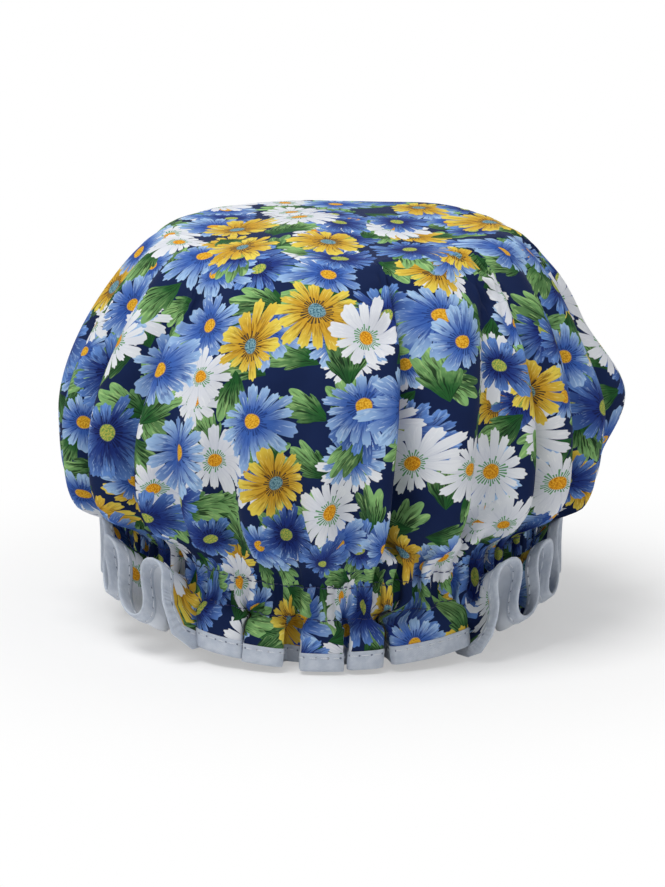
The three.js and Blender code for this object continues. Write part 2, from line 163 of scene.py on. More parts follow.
front_outline, _ = meridian(FRONT_TAPER)
side_outline, crown_reach = meridian(SIDE_DROOP)
channel_reach = crown_reach + upper_seam - lower_seam
pinch_reach = (crown_reach + channel_reach) / 2  # where the elastic draws the cloth in most
cut_radius = channel_reach + RUFFLE_FALL

crests = np.r_[FRONT_CRESTS, np.linspace(FRONT_CRESTS[-1], FRONT_CRESTS[0] + 360, BACK_LOBES + 2)[1:]]
lobes = len(crests) - 1
spare = np.r_[FRONT_SPARE, rng.uniform(*BACK_SPARE, BACK_LOBES + 1)]
faces = np.r_[FRONT_FACES, rng.uniform(*BACK_FACES, BACK_LOBES)] * 0.001
back_side = np.abs(np.sin(np.radians(crests[len(FRONT_FLARE):-1])))
flares = np.r_[FRONT_FLARE, smooth(back_side, *BACK_FLARE)]
drops = np.r_[FRONT_DROP, rng.uniform(*BACK_DROP, BACK_LOBES)]
leans = rng.uniform(-LOBE_LEAN, LOBE_LEAN, lobes)
overlaps = np.r_[FRONT_OVERLAP, np.zeros(BACK_LOBES + 1)]
cloth_share = np.diff(crests) / 360 * (1 + SPARE_RANGE * (spare / spare.mean() - 1))
cloth_share /= cloth_share.sum()
share_ends = np.r_[0, np.cumsum(cloth_share)]
flat_crests = crests[0] + share_ends * 360  # where the lobes' middles lie on the flat round
line = np.linspace(0, 1, 121)


def fold_plan(pulse, ripple, chord):
    """Plan of one fold of unit length, turned by both waves until its ends are chord apart."""
    if chord > NO_FOLD:
        return line, line * 0

    def plan(turning):
        heading = turning * (pulse + ripple)
        across = np.cos(heading)
        inward = np.sin(heading)
        step = line[1]
        return (np.r_[0, np.cumsum(across[1:] + across[:-1])] * step / 2,
                np.r_[0, np.cumsum(inward[1:] + inward[:-1])] * step / 2)

    low, high = 0.0, MOST_TURN
    for _ in range(32):
        middle = (low + high) / 2
        if plan(middle)[0][-1] > chord:
            low = middle
        else:
            high = middle
    return plan(middle)


def box_pulse(face, floor, next_face):
    """Turning of a square pleat: along half a face, in, along the floor, out, along half a face."""
    flank = (1 - face / 2 - floor - next_face / 2) / 2
    bends = np.cumsum([face / 2, flank, floor, flank])
    up = [smooth(line, bend - CORNER, bend + CORNER) for bend in bends]
    return -(up[0] - up[1]) + (up[2] - up[3])


def gathered(reaches, columns):
    """Grid of points, one row for each distance from the cloth's middle, before it settles."""
    places = np.arange(columns) / columns
    fold = np.clip(np.searchsorted(share_ends, places, side="right") - 1, 0, lobes - 1)
    within = (places - share_ends[fold]) / cloth_share[fold]
    after = (fold + 1) % lobes
    passing = smooth(within, *PASSING)
    flare, drop, lean = (of[fold] + (of[after] - of[fold]) * passing for of in (flares, drops, leans))
    facing = np.radians(crests[fold] + within * np.diff(crests)[fold])
    front = smooth(np.cos(facing), *FRONT_FACING)
    kept = FLARE_KEEP + (SIDE_KEEP - FLARE_KEEP) * smooth(np.abs(np.sin(facing)), *SIDE_FACING)
    kept = 1 + (kept - 1) * flare
    hem = HEM_CLEAR + HEM_UNEVEN * (1 - drop)
    fall = (upper_seam - hem) / (cut_radius - crown_reach)
    hang_out = np.zeros(columns)
    hang_down = np.zeros(columns)
    last = crown_reach
    grid = np.zeros((len(reaches), columns, 3))
    for i, reach in enumerate(reaches):
        on_crown = reach < crown_reach + 1e-9
        skirt = np.clip((reach - pinch_reach) / (cut_radius - pinch_reach), 0, 1)
        share = min(reach / crown_reach, 1) * OUTLINE_STEPS
        steps = np.arange(OUTLINE_STEPS + 1)
        radius, height = [np.interp(share, steps, side_outline[:, c]) * (1 - front)
                          + np.interp(share, steps, front_outline[:, c]) * front for c in (0, 1)]
        turn_out = np.zeros(columns)
        if on_crown:
            fine = smooth(reach, crown_reach - GATHER_REACH, crown_reach)
        else:
            fine = 1 - smooth(skirt, 0.0, GATHER_END)
            turn_out = np.radians(HANG_TILT + FLARE_TURN * flare) * smooth(skirt, 0.0, FLARE_START)
            hang_out = hang_out + (reach - last) * np.sin(turn_out)
            hang_down = hang_down + (reach - last) * np.cos(turn_out) * fall
            last = reach
        drawn = smooth(reach, FLAT_REACH, DRAWN_SHARE * crown_reach)
        crests_here = flat_crests + (crests - flat_crests) * drawn
        turn_share = np.diff(crests_here) / 360
        rise = smooth(height, BULGE_HEIGHT * LEAN_START, cloth_high.z)
        depth = 1 + (CROWN_DEPTH_RADIUS / CROWN_RADIUS - 1) * smooth(height, upper_seam, BULGE_HEIGHT)
        inward = np.zeros(columns)
        angle = np.zeros(columns)
        for k in range(lobes):
            mine = fold == k
            nxt = (k + 1) % lobes
            length = cloth_share[k] * math.tau * reach
            base = radius[mine].mean() + hang_out[mine].mean() - RUFFLE_SINK * (not on_crown)
            chord = min(1.0, turn_share[k] * math.tau * base / length)
            wave = -np.sin(2 * math.pi * line)
            ripple = -np.sin(6 * math.pi * line)
            if not on_crown:
                room = turn_share[k] * math.tau * (waist_radius + HEM_REACH)
                gap = max(room - (faces[k] + faces[nxt]) / 2, LOBE_GAP[0]) + LOBE_GAP[1]
                square = box_pulse(faces[k] / length, gap / length, faces[nxt] / length)
                turned_up = flares[k] + (flares[nxt] - flares[k]) * smooth(line, *PASSING)
                wave = square + (wave - square) * turned_up
            across, into = fold_plan((1 - fine) * wave, fine * ripple, chord)
            if not on_crown:
                into = into - into[-1] * line
                limit = HANG_DEPTH + (FLARE_DEPTH - HANG_DEPTH) * (flares[k] + flares[nxt]) / 2
                into = into * min(1.0, limit / max(-into.min() * length, limit))
            x = np.interp(within[mine], line, across)
            y = np.interp(within[mine], line, into)
            x = (x + overlaps[k] * y * (1 - fine) * on_crown) / across[-1]
            inward[mine] = y * length
            angle[mine] = crests_here[k] + x * (crests_here[k + 1] - crests_here[k])
        stand = inward + FLARE_RISE * flare * skirt
        radius = radius - FLARE_ROOT * flare * smooth(skirt, 0.0, FLARE_START)
        radius = radius + hang_out * kept + stand * np.cos(turn_out)
        height = height - hang_down + stand * np.sin(turn_out)
        angle = angle + lean * skirt + LEAN * rise * np.exp(-((angle - LEAN_MIDDLE) / LEAN_SPREAD) ** 2)
        turned = np.radians(angle)
        grid[i] = np.stack([radius * np.sin(turned), -radius * np.cos(turned) * depth, height], 1)
    return grid


def flat_places(reaches, columns):
    """Where the grid's points lie on the flat round."""
    turned = np.arange(columns) / columns * math.tau + math.radians(crests[0])
    flat = np.stack([np.sin(turned), -np.cos(turned)], 1)
    return np.asarray(reaches)[:, None, None] * flat[None]


def grid_faces(rows, columns, first=0, outward=True, closed=False):
    """Quads of a grid that closes on itself round the cap, and if asked from its last row to its first."""
    i, j = np.meshgrid(np.arange(rows if closed else rows - 1), np.arange(columns), indexing="ij")
    row, next_row = i * columns, (i + 1) % rows * columns
    next_j = (j + 1) % columns
    quads = np.stack([row + j, next_row + j, next_row + next_j, row + next_j], -1).reshape(-1, 4) + first
    return quads if outward else quads[:, [0, 3, 2, 1]]


def make_mesh(name, points, faces_of, flat=None):
    """A smooth mesh object, with its places on the flat cloth as a UV map."""
    mesh = bpy.data.meshes.new(name)
    mesh.from_pydata(points.reshape(-1, 3).tolist(), [], [tuple(face) for face in faces_of])
    mesh.shade_smooth()
    if flat is not None:
        corners = np.zeros(len(mesh.loops), int)
        mesh.loops.foreach_get("vertex_index", corners)
        layer = mesh.uv_layers.new(name="flat")
        layer.data.foreach_set("uv", flat.reshape(-1, 2)[corners].ravel())
    mesh.update()
    piece = bpy.data.objects.new(name, mesh)
    bpy.context.scene.collection.objects.link(piece)
    return piece


def capped(points, flat, pole, outward=True):
    """Points, faces and flat places of a whole round, its middle closed by a fan."""
    rows, columns = points.shape[:2]
    fan = [(0, 1 + j, 1 + (j + 1) % columns) for j in range(columns)]
    if not outward:
        fan = [face[::-1] for face in fan]
    quads = grid_faces(rows, columns, 1, outward).tolist()
    return (np.vstack([[pole], points.reshape(-1, 3)]), fan + quads,
            np.vstack([[(0, 0)], flat.reshape(-1, 2)]))


TOP_HELD = 0.070  # the middle of the top stays where it is put
TOP_FREE = 0.112  # from here on the cloth settles freely
SIM_SCALE = 10  # cloth is settled at ten times its size
SIM_FRAMES = 24
AIR_REACH = (0.55, 0.95)  # between these shares of the crown the air in it stops pushing
AIR_LOSS = 0.95


def settle(points, flat, reaches, pole):
    """The crown after its cloth has settled under its weight and a little air."""
    scene = bpy.context.scene
    places, faces_of, rest = capped(points, flat, pole)
    piece = make_mesh("settling", places * SIM_SCALE, faces_of)
    bpy.context.view_layer.objects.active = piece
    piece.shape_key_add(name="Basis")
    key = piece.shape_key_add(name="flat")
    key.data.foreach_set("co", np.c_[rest * SIM_SCALE, np.zeros(len(rest))].ravel())
    key.value = 0
    held = piece.vertex_groups.new(name="held")
    blown = piece.vertex_groups.new(name="blown")
    columns = points.shape[1]
    held.add([0], 1.0, "REPLACE")
    for i, reach in enumerate(reaches):
        row = list(range(1 + i * columns, 1 + (i + 1) * columns))
        weight = 1 - float(np.clip((reach - TOP_HELD) / (TOP_FREE - TOP_HELD), 0, 1))
        if i == len(reaches) - 1:
            weight = 1.0
        if weight > 0:
            held.add(row, weight, "REPLACE")
        push = 1 - AIR_LOSS * smooth(reach, AIR_REACH[0] * crown_reach, AIR_REACH[1] * crown_reach)
        blown.add(row, float(push), "REPLACE")
    cloth = piece.modifiers.new("Cloth", "CLOTH")
    settings = cloth.settings
    settings.quality = 6
    settings.mass = 0.3
    settings.tension_stiffness = settings.compression_stiffness = 25
    settings.shear_stiffness = 8
    settings.bending_stiffness = 4
    settings.tension_damping = settings.compression_damping = 15
    settings.shear_damping = 10
    settings.bending_damping = 1
    settings.air_damping = 4
    settings.vertex_group_mass = "held"
    settings.rest_shape_key = key
    settings.use_pressure = True
    settings.uniform_pressure_force = 2.5
    settings.vertex_group_pressure = "blown"
    settings.effector_weights.gravity = 0.2
    cloth.collision_settings.use_collision = False
    cloth.collision_settings.use_self_collision = True
    cloth.collision_settings.self_distance_min = 0.012
    cloth.collision_settings.self_friction = 2
    cloth.collision_settings.collision_quality = 2
    cloth.point_cache.frame_start = 1
    cloth.point_cache.frame_end = SIM_FRAMES
    for number in range(1, SIM_FRAMES + 1):
        scene.frame_set(number)
    settled = piece.evaluated_get(bpy.context.evaluated_depsgraph_get())
    found = np.empty(len(places) * 3)
    settled.data.vertices.foreach_get("co", found)
    scene.frame_set(1)
    bpy.data.objects.remove(piece)
    return found.reshape(-1, 3)[1:].reshape(points.shape) / SIM_SCALE


def finer(grid):
    """Twice the rows and columns, on smooth curves through the points given, by the four-point rule."""
    ring = np.concatenate([grid[:, -1:], grid, grid[:, :2]], 1)
    wide = np.empty((grid.shape[0], grid.shape[1] * 2, grid.shape[2]))
    wide[:, 0::2] = grid
    wide[:, 1::2] = (9 * (ring[:, 1:-2] + ring[:, 2:-1]) - ring[:, :-3] - ring[:, 3:]) / 16
    tall = np.concatenate([2 * wide[:1] - wide[1:2], wide, 2 * wide[-1:] - wide[-2:-1]])
    out = np.empty((2 * len(wide) - 1,) + wide.shape[1:])
    out[0::2] = wide
    out[1::2] = (9 * (tall[1:-2] + tall[2:-1]) - tall[:-3] - tall[3:]) / 16
    return out


RUMPLE = 0.0004  # soft unevenness of the top
RUMPLE_WAVES = 7
RUMPLE_RATES = (50, 110)  # radians in a metre
RUMPLE_HEIGHTS = (0.120, 0.165)  # none below the first, all of it above the second
sim_columns = lobes * LOBE_COLUMNS
sim_reaches = np.linspace(0, crown_reach, SIM_ROWS + 1)[1:]
crown = gathered(sim_reaches, sim_columns)
for _ in range(RUMPLE_WAVES):
    wave = rng.normal(0, 1, 2)
    wave *= rng.uniform(*RUMPLE_RATES) / np.linalg.norm(wave)
    swell = np.sin(crown[..., 0] * wave[0] + crown[..., 1] * wave[1] + rng.uniform(0, 6))
    crown[..., 2] += RUMPLE * swell * smooth(crown[..., 2], *RUMPLE_HEIGHTS)
crown_pole = crown[0].mean(0)
crown = settle(crown, flat_places(sim_reaches, sim_columns), sim_reaches, crown_pole)

PEAK_REACH = 0.010  # a fold stands out as a corner on the right
PEAK_HEIGHT = 0.096
PEAK_SPREAD = 0.034
PEAK_ANGLE = 30.0
PEAK_PLACE = 95.0  # degrees right of the front
TOP_SWAY = 0.003  # the top leans to the right by this
TOP_SWAY_FULL = 0.9  # all of it from this share of the height on
PLEAT_FREE = 0.005  # the pleats stand straight at the seams, and may lean over this far from them
PRESS_ABOVE = 0.022  # they are pressed flat from this far above the upper seam
PRESS_BELOW = 0.006  # to this far below the lower one
PRESS_SHARE = 0.5  # share of their depth that is left
COTTON_EASE = 0.0003  # least gap to the elastic's seat
columns = sim_columns * 2
channel_reaches = np.linspace(crown_reach, channel_reach, CHANNEL_ROWS + 1)[1:]
ruffle_reaches = np.linspace(channel_reach, cut_radius, RUFFLE_ROWS + 1)[1:]
reaches = np.r_[np.linspace(sim_reaches[0], crown_reach, 2 * SIM_ROWS - 1), channel_reaches, ruffle_reaches]
below = gathered(np.r_[crown_reach, channel_reaches, ruffle_reaches], columns)
cloth = np.concatenate([finer(crown)[:-1], below])
flat_cloth = flat_places(reaches, columns)
upper_row = 2 * SIM_ROWS - 2
lower_row = upper_row + CHANNEL_ROWS


def shaped(grid):
    """The cloth with its pleats straight and pressed at the seams, the corner on the right, the top's
    sway, the ring's rise at the sides and its lowest lobes flattened on the floor."""
    out = grid.copy()
    radius = np.hypot(out[..., 0], out[..., 1])
    angle = np.degrees(np.arctan2(out[..., 0], -out[..., 1]))
    near = smooth(reaches, crown_reach - PRESS_ABOVE, crown_reach)
    near = near * (1 - smooth(reaches, pinch_reach, channel_reach + PRESS_BELOW))
    pressed = waist_radius + (radius - waist_radius) * PRESS_SHARE
    radius_now = radius + (pressed - radius) * near[:, None]
    round_elastic = (np.abs(reaches - pinch_reach) < band_high.z - band_low.z)[:, None]
    radius_now = np.where(round_elastic, np.maximum(radius_now, waist_radius + COTTON_EASE), radius_now)
    off = np.abs((angle - PEAK_PLACE + 180) % 360 - 180)
    peak = (1 - smooth(off, 0, PEAK_ANGLE)) * (1 - smooth(np.abs(out[..., 2] - PEAK_HEIGHT), 0, PEAK_SPREAD))
    radius_now = radius_now + PEAK_REACH * peak
    turned = np.unwrap(np.radians(angle), axis=1)
    furthest = np.maximum.accumulate(turned, axis=1)
    nearest = np.minimum.accumulate(turned[:, ::-1], axis=1)[:, ::-1]
    sewn = smooth(reaches, crown_reach - PLEAT_FREE, crown_reach)
    sewn = sewn * (1 - smooth(reaches, channel_reach, channel_reach + PLEAT_FREE))
    turned = turned + ((furthest + nearest) / 2 - turned) * sewn[:, None]
    out[..., 0] = radius_now * np.sin(turned)
    out[..., 1] = -radius_now * np.cos(turned)
    out[..., 0] += TOP_SWAY * smooth(out[..., 2], BULGE_HEIGHT, TOP_SWAY_FULL * cloth_high.z)
    side = np.sin(turned) ** 2
    out[..., 2] += SIDE_RISE * side * (1 - smooth(grid[..., 2], upper_seam, BULGE_HEIGHT))
    give = FLOOR_SOFT - HEM_CLEAR
    flattened = HEM_CLEAR + give * np.exp(np.minimum(out[..., 2] - FLOOR_SOFT, 0) / give)
    out[..., 2] = np.where(out[..., 2] < FLOOR_SOFT, flattened, out[..., 2])
    return out


cloth = shaped(cloth)
cloth[..., 2] += (cloth_high.z - cloth[..., 2].max()) * smooth(cloth[..., 2], BULGE_HEIGHT, cloth_high.z)
cloth += np.array(ring_middle)
cloth_pole = cloth[0].mean(0)


def outward_normals(grid):
    """Unit normals of a closed grid, pointing out of the cap."""
    round_cap = np.roll(grid, -1, 1) - np.roll(grid, 1, 1)
    down = np.gradient(grid, axis=0)
    normal = np.cross(down, round_cap)
    return normal / np.maximum(np.linalg.norm(normal, axis=-1, keepdims=True), 1e-12)


cloth_normals = outward_normals(cloth)
outer_cloth = make_mesh("outer_cloth_gathered", *capped(cloth, flat_cloth, cloth_pole))


def srgb(code):
    """Linear colour of a paint code of six hex digits."""
    parts = [int(code[i:i + 2], 16) / 255 for i in (0, 2, 4)]
    return tuple(c / 12.92 if c <= 0.04045 else ((c + 0.055) / 1.055) ** 2.4 for c in parts) + (1.0,)


class Wiring:
    """Adds nodes to a tree: inputs are sockets to link or values to set, in the node's own order."""

    def __init__(self, tree):
        self.tree = tree

    def node(self, kind, *inputs, **settings):
        made = self.tree.nodes.new(kind)
        for name, value in settings.items():
            setattr(made, name, value)
        for socket, value in zip(made.inputs, inputs):
            self.feed(socket, value)
        return made

    def feed(self, socket, value):
        if isinstance(value, bpy.types.NodeSocket):
            self.tree.links.new(value, socket)
        elif value is not None:
            socket.default_value = value

    def math(self, operation, *values):
        return self.node("ShaderNodeMath", *values, operation=operation).outputs[0]

    def vector(self, operation, *values):
        return self.node("ShaderNodeVectorMath", *values, operation=operation).outputs[0]

    def blend(self, share, first, second):
        made = self.node("ShaderNodeMix", data_type="RGBA")
        for name, value in (("Factor_Float", share), ("A_Color", first), ("B_Color", second)):
            self.feed(next(s for s in made.inputs if s.identifier == name), value)
        return next(s for s in made.outputs if s.identifier == "Result_Color")

    def step(self, value, start, end, low=0.0, high=1.0):
        made = self.node("ShaderNodeMapRange", value, start, end, low, high, interpolation_type="SMOOTHSTEP")
        return made.outputs[0]

    def noise(self, vector, scale, detail=2.0):
        made = self.node("ShaderNodeTexNoise")
        self.feed(made.inputs["Vector"], vector)
        made.inputs["Scale"].default_value = scale
        made.inputs["Detail"].default_value = detail
        return made.outputs[0]

    def random(self, value):
        made = self.node("ShaderNodeTexWhiteNoise", noise_dimensions="1D")
        self.feed(made.inputs["W"], value)
        return made.outputs["Value"]

    def distance(self, x, y):
        return self.math("SQRT", self.math("MULTIPLY_ADD", x, x, self.math("MULTIPLY", y, y)))

    def bump(self, strength, depth, height):
        return self.node("ShaderNodeBump", strength, depth, None, height).outputs[0]

    def flat_place(self):
        """Where a point lies on the flat cloth."""
        return self.node("ShaderNodeUVMap", uv_map="flat").outputs[0]

    def sight_ray(self):
        """1 for rays that see the backdrop straight, mirrored or through a clear thing."""
        ray = self.node("ShaderNodeLightPath").outputs
        mirrored = self.math("MAXIMUM", ray["Is Glossy Ray"], ray["Is Transmission Ray"])
        return self.math("MAXIMUM", ray["Is Camera Ray"], mirrored)

    def palette(self, value, colours):
        """One colour for each kind: pairs of where the kind starts and its paint."""
        made = self.node("ShaderNodeValToRGB", value)
        ramp = made.color_ramp
        ramp.interpolation = "CONSTANT"
        while len(ramp.elements) < len(colours):
            ramp.elements.new(1.0)
        for element, (start, code) in zip(ramp.elements, colours):
            element.position = start
            element.color = srgb(code)
        return made.outputs[0]


def new_group(name, inputs, outputs):
    """An empty shader node group with its sockets, and its two ends."""
    group = bpy.data.node_groups.new(name, "ShaderNodeTree")
    for title, kind in inputs:
        group.interface.new_socket(title, in_out="INPUT", socket_type="NodeSocket" + kind)
    for title, kind in outputs:
        group.interface.new_socket(title, in_out="OUTPUT", socket_type="NodeSocket" + kind)
    wires = Wiring(group)
    return group, wires, wires.node("NodeGroupInput").outputs, wires.node("NodeGroupOutput").inputs


SWAY_SCALE = 90  # hand-drawn wobble of the motifs
MOTIF_RANDOMNESS = 0.62  # 0 would set them in rows


def scattered(w, vector, cell, shift, wobble):
    """Place in the nearest printed motif, in metres from its middle, turned at random; and three chances."""
    aside = w.node("ShaderNodeCombineXYZ", shift, w.math("MULTIPLY", shift, 1.7)).outputs[0]
    moved = w.vector("ADD", vector, aside)
    sway = w.node("ShaderNodeTexNoise", noise_dimensions="2D")
    w.feed(sway.inputs["Vector"], moved)
    sway.inputs["Scale"].default_value = SWAY_SCALE
    centred = w.vector("SUBTRACT", sway.outputs[1], (0.5, 0.5, 0.5))
    moved = w.vector("ADD", moved, w.vector("MULTIPLY", centred, (wobble, wobble, 0)))
    cells = w.node("ShaderNodeTexVoronoi", voronoi_dimensions="2D")
    w.feed(cells.inputs["Vector"], moved)
    w.feed(cells.inputs["Scale"], w.math("DIVIDE", 1.0, cell))
    cells.inputs["Randomness"].default_value = MOTIF_RANDOMNESS
    chance = w.node("ShaderNodeSeparateColor", cells.outputs["Color"]).outputs
    offset = w.vector("SUBTRACT", moved, cells.outputs["Position"])
    turned = w.node("ShaderNodeVectorRotate", offset, (0, 0, 0), (0, 0, 1),
                    w.math("MULTIPLY", chance[1], math.tau), rotation_type="Z_AXIS")
    return w.node("ShaderNodeSeparateXYZ", turned.outputs[0]).outputs, chance, moved


# Where each kind of daisy starts, as a share of all
WHITE, YELLOW, PALE_BLUE, DEEP_BLUE = 0.0, 0.30, 0.46, 0.74
DAISY_WOBBLE = 0.0016
PETALS = (12.0, 5.0)  # least number of petals, and how many more there may be
SPOKES = 30  # dark lines round a daisy's middle
PRINT_EDGE = 0.0004  # softness of a motif's outline


def by_kind(w, kind, *codes):
    """One paint for each kind of daisy, in the order white, yellow, pale blue, deep blue."""
    return w.palette(kind, list(zip((WHITE, YELLOW, PALE_BLUE, DEEP_BLUE), codes)))


daisies, w, given, result = new_group(
    "daisies",
    [("Vector", "Vector"), ("Cell", "Float"), ("Shift", "Float"), ("Radius", "Float")],
    [("Color", "Color"), ("Mask", "Float")],
)
(x, y, _), chance, moved = scattered(w, given["Vector"], given["Cell"], given["Shift"], DAISY_WOBBLE)
kind = chance[0]
squeeze = w.math("MULTIPLY_ADD", chance[2], 0.30, 0.72)
y = w.math("DIVIDE", y, squeeze)
distance = w.distance(x, y)
angle = w.math("ADD", w.math("ARCTAN2", y, x), math.pi)
petals = w.math("FLOOR", w.math("MULTIPLY_ADD", chance[2], PETALS[1], PETALS[0]))
place = w.math("MULTIPLY", angle, w.math("DIVIDE", petals, math.tau))
place = w.math("MULTIPLY_ADD", w.math("SINE", w.math("MULTIPLY", angle, 3.0)), 0.22, place)
number = w.math("FLOOR", place)
across = w.math("SUBTRACT", w.math("FRACT", place), 0.5)
side = w.math("ABSOLUTE", across)
petal_chance = w.random(w.math("MULTIPLY_ADD", kind, 91.0, number))
petal_tone = w.random(w.math("MULTIPLY_ADD", kind, 57.0, w.math("ADD", number, 0.5)))
radius = w.math("MULTIPLY", given["Radius"], w.math("MULTIPLY_ADD", chance[1], 0.22, 0.86))
leaning = w.math("MULTIPLY_ADD", w.math("COSINE", angle), 0.18, 1.0)
length = w.math("MULTIPLY", radius, w.math("MULTIPLY_ADD", petal_chance, 0.30, 0.76))
length = w.math("MULTIPLY", length, leaning)
tip_round = w.math("POWER", w.math("MULTIPLY", side, 2.0), 3.6)
ragged = w.math("MULTIPLY_ADD", w.math("COSINE", w.math("MULTIPLY", across, 19.0)), 0.035, 1.0)
outline = w.math("MULTIPLY", length, ragged)
outline = w.math("MULTIPLY", outline, w.math("MULTIPLY_ADD", tip_round, -0.42, 1.0))
petal = w.step(w.math("SUBTRACT", outline, distance), 0.0, PRINT_EDGE)
out = w.math("DIVIDE", distance, length)
tip = by_kind(w, kind, "e9ecf0", "ecd656", "a6c8ec", "6690d4")
root = by_kind(w, kind, "dde0e8", "cf9f2e", "3c63b2", "1f367f")
streak = by_kind(w, kind, "b9bfce", "7e5210", "294a98", "172362")
warm = w.math("MULTIPLY_ADD", petal_tone, 0.45, 0.55)
colour = w.blend(w.step(w.math("MULTIPLY", out, warm), 0.22, 0.90), root, tip)
brush = w.node("ShaderNodeCombineXYZ", w.math("MULTIPLY", angle, 12.0), w.math("MULTIPLY", distance, 130.0),
               w.math("MULTIPLY", kind, 90.0)).outputs[0]
fading = w.math("SUBTRACT", 1.0, w.step(w.math("MULTIPLY_ADD", petal_tone, -0.35, out), 0.15, 0.85))
lined = w.math("MULTIPLY", w.step(w.noise(brush, 1.0, 3.0), 0.50, 0.60), fading)
strength = w.step(kind, WHITE + 0.28, YELLOW + 0.01, 0.22, 0.85)
colour = w.blend(w.math("MULTIPLY", lined, strength), colour, streak)
shine = w.math("MULTIPLY", w.step(w.noise(brush, 1.7, 2.0), 0.56, 0.66), w.step(out, 0.35, 0.8))
light = by_kind(w, kind, "f4f5f8", "f6e884", "cfe3f6", "a4c2ea")
colour = w.blend(w.math("MULTIPLY", shine, 0.55), colour, light)
colour = w.blend(w.math("MULTIPLY", w.step(side, 0.40, 0.5), 0.35), colour, streak)
inner = w.math("DIVIDE", distance, radius)
spoke_place = w.math("MULTIPLY", angle, SPOKES / math.tau)
spoke_chance = w.random(w.math("MULTIPLY_ADD", kind, 33.0, w.math("FLOOR", spoke_place)))
spoke_side = w.math("ABSOLUTE", w.math("SUBTRACT", w.math("FRACT", spoke_place), 0.5))
spoke_end = w.math("MULTIPLY_ADD", spoke_chance, 0.17, 0.23)
spoke = w.math("MULTIPLY", w.math("LESS_THAN", spoke_side, 0.27), w.math("LESS_THAN", inner, spoke_end))
spoke_paint = by_kind(w, kind, "3c8f47", "2b2a2e", "26407f", "141d4c")
colour = w.blend(w.math("MULTIPLY", spoke, 0.9), colour, spoke_paint)
disc_dark = by_kind(w, kind, "c9780f", "3f6a7c", "c98a16", "6f9a4a")
disc_light = by_kind(w, kind, "f2b632", "86aeb8", "f0bd3c", "c9c25a")
disc = w.blend(w.step(w.noise(moved, 1400.0), 0.38, 0.62), disc_dark, disc_light)
colour = w.blend(w.math("SUBTRACT", 1.0, w.step(inner, 0.17, 0.20)), colour, disc)
w.feed(result["Color"], colour)
w.feed(result["Mask"], petal)

LEAF_SPREAD = 0.62  # half of a leaf's fan, radians
LEAF_WOBBLE = 0.0020

leaves, w, given, result = new_group(
    "leaves",
    [("Vector", "Vector"), ("Cell", "Float"), ("Shift", "Float"), ("Length", "Float")],
    [("Color", "Color"), ("Mask", "Float")],
)
(x, y, _), chance, moved = scattered(w, given["Vector"], given["Cell"], given["Shift"], LEAF_WOBBLE)
x = w.math("MULTIPLY_ADD", given["Length"], 0.5, x)
distance = w.distance(x, y)
angle = w.math("ARCTAN2", y, x)
spread = w.math("DIVIDE", w.math("ABSOLUTE", angle), LEAF_SPREAD)
scallop = w.math("ABSOLUTE", w.math("COSINE", w.math("MULTIPLY", angle, 11.0)))
reach_of = w.math("MULTIPLY_ADD", w.math("POWER", spread, 2.0), -0.55, 0.80)
reach_of = w.math("MULTIPLY", w.math("MULTIPLY_ADD", scallop, 0.20, reach_of), given["Length"])
leaf = w.math("MULTIPLY", w.math("LESS_THAN", spread, 1.0),
              w.step(w.math("SUBTRACT", reach_of, distance), 0.0, PRINT_EDGE))
out = w.math("DIVIDE", distance, given["Length"])
ripe = w.step(w.math("MULTIPLY_ADD", w.noise(moved, 240.0), 0.5, out), 0.45, 1.1)
green = w.blend(ripe, srgb("235a2b"), srgb("8aba74"))
shaded = w.math("MULTIPLY", w.math("GREATER_THAN", y, 0.0), w.math("MULTIPLY", chance[0], 0.8))
green = w.blend(shaded, green, srgb("234a2b"))
brush = w.node("ShaderNodeCombineXYZ", w.math("MULTIPLY", angle, 19.0), w.math("MULTIPLY", distance, 120.0),
               w.math("MULTIPLY", chance[0], 90.0)).outputs[0]
shine = w.math("MULTIPLY", w.step(w.noise(brush, 1.3, 2.0), 0.54, 0.64), w.step(out, 0.25, 0.7))
green = w.blend(w.math("MULTIPLY", shine, 0.6), green, srgb("b4d98c"))
vein = w.math("MULTIPLY", w.step(w.noise(brush, 1.0, 3.0), 0.50, 0.60), w.step(out, 1.0, 0.55))
green = w.blend(w.math("MULTIPLY", vein, 0.9), green, srgb("122a18"))
w.feed(result["Color"], green)
w.feed(result["Mask"], leaf)

weave, w, given, result = new_group(
    "weave",
    [("Vector", "Vector"), ("Threads", "Float")],
    [("Height", "Float")],
)
counted = w.vector("SCALE", given["Vector"], None, None, given["Threads"])
grain = w.node("ShaderNodeSeparateXYZ", counted).outputs
warp = w.math("ABSOLUTE", w.math("SINE", w.math("MULTIPLY", grain[0], math.pi)))
weft = w.math("ABSOLUTE", w.math("SINE", w.math("MULTIPLY", grain[1], math.pi)))
odd = w.math("PINGPONG", w.math("ADD", w.math("FLOOR", grain[0]), w.math("FLOOR", grain[1])), 1.0)
over = w.math("MULTIPLY_ADD", odd, w.math("SUBTRACT", warp, weft), weft)
slub = w.noise(given["Vector"], 900.0)
w.feed(result["Height"], w.math("MULTIPLY_ADD", slub, 0.6, over))


def new_material(name, roughness, **sockets):
    """A material with one Principled shader, its even values set on the shader itself."""
    material = bpy.data.materials.new(name)
    material.use_nodes = True
    material.node_tree.nodes.clear()
    wires = Wiring(material.node_tree)
    shader = wires.node("ShaderNodeBsdfPrincipled")
    shader.inputs["Roughness"].default_value = roughness
    for socket, value in sockets.items():
        shader.inputs[socket.replace("_", " ")].default_value = value
    end = wires.node("ShaderNodeOutputMaterial", shader.outputs[0])
    end.is_active_output = True
    return material, wires, shader.inputs


def placed(w, group, **values):
    """A node group in a material, with its inputs by name."""
    made = w.node("ShaderNodeGroup", node_tree=group)
    for name, value in values.items():
        w.feed(made.inputs[name], value)
    return made.outputs


